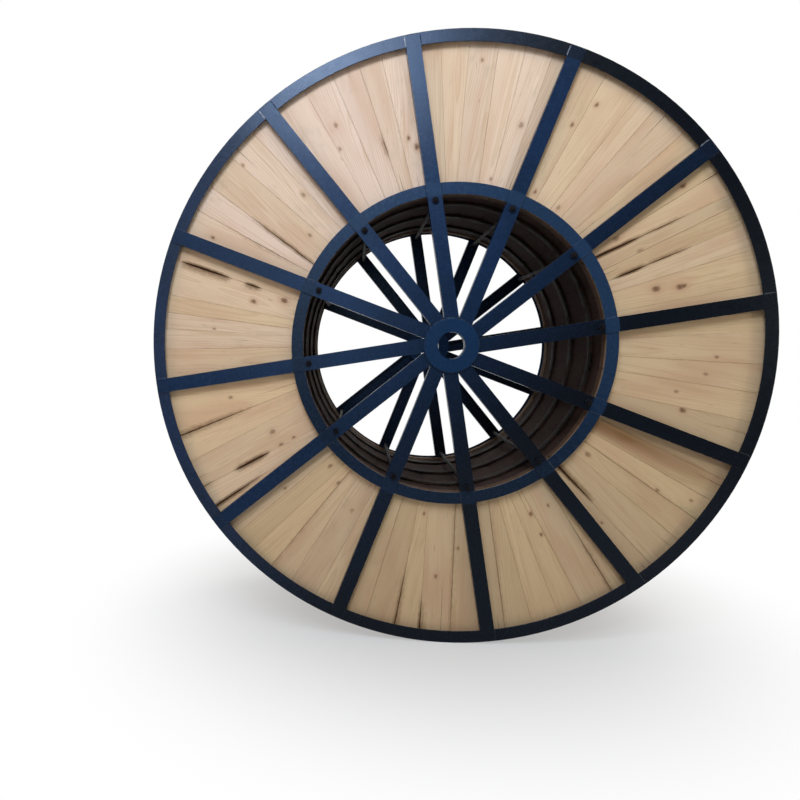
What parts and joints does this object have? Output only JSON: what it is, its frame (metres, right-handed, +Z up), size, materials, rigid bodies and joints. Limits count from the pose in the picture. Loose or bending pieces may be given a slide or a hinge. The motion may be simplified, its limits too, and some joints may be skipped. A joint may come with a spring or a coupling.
{
  "type": "cable drum",
  "caption": "Large cable drum standing on its rims: a blue steel frame of channel rims, rings and spokes, radial pine flange boards, a staved barrel and bored hubs.",
  "frame": {"origin": "the middle of the drum, on its axis and midway between the flanges", "axes": "+Y along the drum's axis, away from the front flange; +Z up as the drum stands on its rims"},
  "size_m": [2.5, 1.0436, 2.4996],
  "materials": {
    "blue_steel": "navy blue paint, brushed on, dusty and worn along the edges",
    "pine_boards": "bare sawn softwood with knots, grain and drying cracks",
    "barrel_wood": "bare dark sawn wood",
    "dark_steel": "dark primer, rubbed and rusty",
    "zinc_steel": "dull zinc plating"
  },
  "bodies": {
    "root": {"front_rim": "blue_steel", "front_ring": "blue_steel", "front_hub": "blue_steel", "back_rim": "blue_steel", "back_ring": "blue_steel", "back_hub": "blue_steel", "front_spoke_1": "blue_steel", "front_spoke_2": "blue_steel", "front_spoke_3": "blue_steel", "front_spoke_4": "blue_steel", "front_spoke_5": "blue_steel", "front_spoke_6": "blue_steel", "front_spoke_7": "blue_steel", "front_spoke_8": "blue_steel", "front_spoke_9": "blue_steel", "front_spoke_10": "blue_steel", "front_spoke_11": "blue_steel", "front_spoke_12": "blue_steel", "back_spoke_1": "blue_steel", "back_spoke_2": "blue_steel", "back_spoke_3": "blue_steel", "back_spoke_4": "blue_steel", "back_spoke_5": "blue_steel", "back_spoke_6": "blue_steel", "back_spoke_7": "blue_steel", "back_spoke_8": "blue_steel", "back_spoke_9": "blue_steel", "back_spoke_10": "blue_steel", "back_spoke_11": "blue_steel", "back_spoke_12": "blue_steel", "front_boards_1": "pine_boards", "front_boards_2": "pine_boards", "front_boards_3": "pine_boards", "front_boards_4": "pine_boards", "front_boards_5": "pine_boards", "front_boards_6": "pine_boards", "front_boards_7": "pine_boards", "front_boards_8": "pine_boards", "front_boards_9": "pine_boards", "front_boards_10": "pine_boards", "front_boards_11": "pine_boards", "front_boards_12": "pine_boards", "back_boards_1": "pine_boards", "back_boards_2": "pine_boards", "back_boards_3": "pine_boards", "back_boards_4": "pine_boards", "back_boards_5": "pine_boards", "back_boards_6": "pine_boards", "back_boards_7": "pine_boards", "back_boards_8": "pine_boards", "back_boards_9": "pine_boards", "back_boards_10": "pine_boards", "back_boards_11": "pine_boards", "back_boards_12": "pine_boards", "barrel_staves": "barrel_wood", "hoops": "dark_steel", "tie_rods": "zinc_steel", "tie_nuts": "zinc_steel"}
  },
  "joints": []
}
